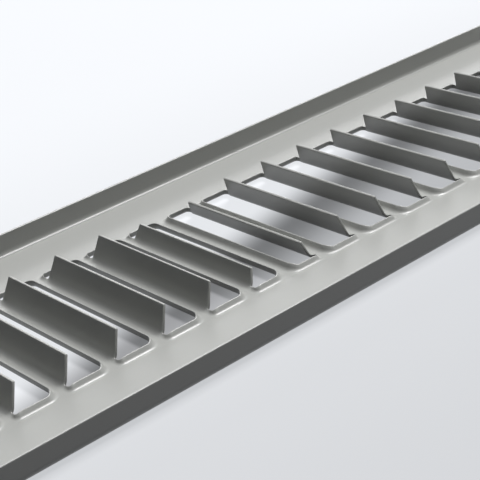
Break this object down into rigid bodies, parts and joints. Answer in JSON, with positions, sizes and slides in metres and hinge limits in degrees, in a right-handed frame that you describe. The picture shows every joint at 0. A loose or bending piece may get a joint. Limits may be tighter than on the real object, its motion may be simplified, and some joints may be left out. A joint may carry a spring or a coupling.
{
  "type": "toe kick register",
  "caption": "Toe kick register of satin grey coated sheet metal: a long strip with a row of bent louvres and both long edges folded to the back.",
  "frame": {"origin": "middle of the smooth front face, which the register lies on", "axes": "+X along the strip, +Y across it, +Z out of the back, towards the louvres and the folded edges"},
  "size_m": [0.32, 0.08, 0.0065],
  "materials": {
    "satin_coat": "satin"
  },
  "bodies": {
    "root": {"register_plate": "satin_coat"}
  },
  "joints": []
}
